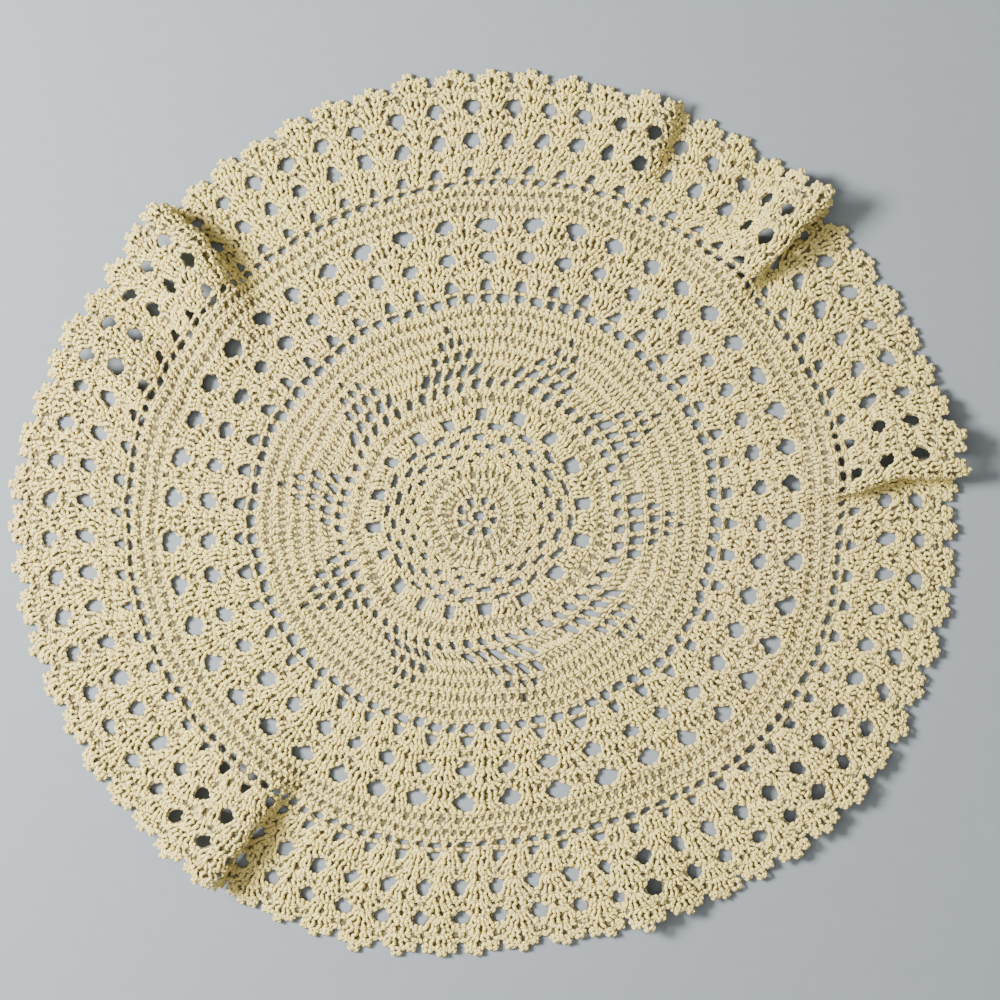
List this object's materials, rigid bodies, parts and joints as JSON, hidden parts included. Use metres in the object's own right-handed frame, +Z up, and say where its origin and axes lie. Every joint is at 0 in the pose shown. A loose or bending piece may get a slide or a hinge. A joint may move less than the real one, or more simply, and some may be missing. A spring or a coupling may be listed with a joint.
{
  "type": "lace doily",
  "caption": "Round crocheted lace doily lying flat, with an openwork star, rings of fans and a scalloped border that stands in uneven ruffled folds.",
  "frame": {"origin": "middle of the doily's bounding box, on the surface it lies on", "axes": "+Z up out of the surface, +X along the doily's longest width, +Y away from the viewer of the picture"},
  "size_m": [0.3402, 0.3174, 0.0185],
  "materials": {
    "cream_cotton": "matt crochet cotton in natural cream"
  },
  "bodies": {
    "root": {"doily": "cream_cotton"}
  },
  "joints": []
}
